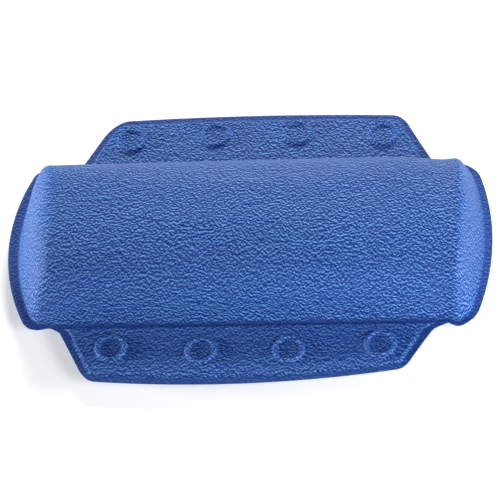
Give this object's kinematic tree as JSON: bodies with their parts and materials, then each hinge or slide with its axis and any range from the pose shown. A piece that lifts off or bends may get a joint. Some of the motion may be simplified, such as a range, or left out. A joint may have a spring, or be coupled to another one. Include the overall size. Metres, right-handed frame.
{
  "type": "bath pillow",
  "caption": "Foam-filled bath pillow: an embossed PVC bolster with bowed welded ends, and flanges along both long sides that fold at their welds and carry suction cups.",
  "frame": {"origin": "under the middle of the pillow, on the plane of the suction cups' sealing lips", "axes": "+X along the pillow, +Y towards its upper flange, +Z out of its face"},
  "size_m": [0.32, 0.2212, 0.0539],
  "materials": {
    "front_sheet": "satin, embossed all over",
    "back_sheet": "smooth, semi-gloss",
    "clear_vinyl": "clear, gloss",
    "foam": "open-cell foam, matte"
  },
  "bodies": {
    "bolster": {"foam_core": "foam", "front_cover": "front_sheet", "back_cover": "back_sheet"},
    "upper_flange": {"upper_flange_front": "front_sheet", "upper_flange_back": "back_sheet"},
    "lower_flange": {"lower_flange_front": "front_sheet", "lower_flange_back": "back_sheet"},
    "cup_upper_1": {"suction_cup_upper_1": "clear_vinyl"},
    "cup_upper_2": {"suction_cup_upper_2": "clear_vinyl"},
    "cup_upper_3": {"suction_cup_upper_3": "clear_vinyl"},
    "cup_upper_4": {"suction_cup_upper_4": "clear_vinyl"},
    "cup_lower_1": {"suction_cup_lower_1": "clear_vinyl"},
    "cup_lower_2": {"suction_cup_lower_2": "clear_vinyl"},
    "cup_lower_3": {"suction_cup_lower_3": "clear_vinyl"},
    "cup_lower_4": {"suction_cup_lower_4": "clear_vinyl"}
  },
  "joints": [
    {"name": "upper_fold", "type": "hinge", "parent": "bolster", "child": "upper_flange", "pos_m": [0, 0.0645, 0.0091], "axis": [1, 0, 0], "range_deg": [-90, 60], "stiffness_Nm_per_rad": 0.4},
    {"name": "lower_fold", "type": "hinge", "parent": "bolster", "child": "lower_flange", "pos_m": [0, -0.0645, 0.0091], "axis": [-1, 0, 0], "range_deg": [-90, 60], "stiffness_Nm_per_rad": 0.4},
    {"name": "swivel_upper_1", "type": "hinge", "parent": "upper_flange", "child": "cup_upper_1", "pos_m": [-0.086, 0.0908, 0.0091], "axis": [0, 0, 1], "continuous": true},
    {"name": "swivel_upper_2", "type": "hinge", "parent": "upper_flange", "child": "cup_upper_2", "pos_m": [-0.028, 0.094, 0.0091], "axis": [0, 0, 1], "continuous": true},
    {"name": "swivel_upper_3", "type": "hinge", "parent": "upper_flange", "child": "cup_upper_3", "pos_m": [0.028, 0.094, 0.0091], "axis": [0, 0, 1], "continuous": true},
    {"name": "swivel_upper_4", "type": "hinge", "parent": "upper_flange", "child": "cup_upper_4", "pos_m": [0.086, 0.0908, 0.0091], "axis": [0, 0, 1], "continuous": true},
    {"name": "swivel_lower_1", "type": "hinge", "parent": "lower_flange", "child": "cup_lower_1", "pos_m": [-0.086, -0.0819, 0.0091], "axis": [0, 0, 1], "continuous": true},
    {"name": "swivel_lower_2", "type": "hinge", "parent": "lower_flange", "child": "cup_lower_2", "pos_m": [-0.028, -0.0849, 0.0091], "axis": [0, 0, 1], "continuous": true},
    {"name": "swivel_lower_3", "type": "hinge", "parent": "lower_flange", "child": "cup_lower_3", "pos_m": [0.028, -0.0849, 0.0091], "axis": [0, 0, 1], "continuous": true},
    {"name": "swivel_lower_4", "type": "hinge", "parent": "lower_flange", "child": "cup_lower_4", "pos_m": [0.086, -0.0819, 0.0091], "axis": [0, 0, 1], "continuous": true}
  ]
}
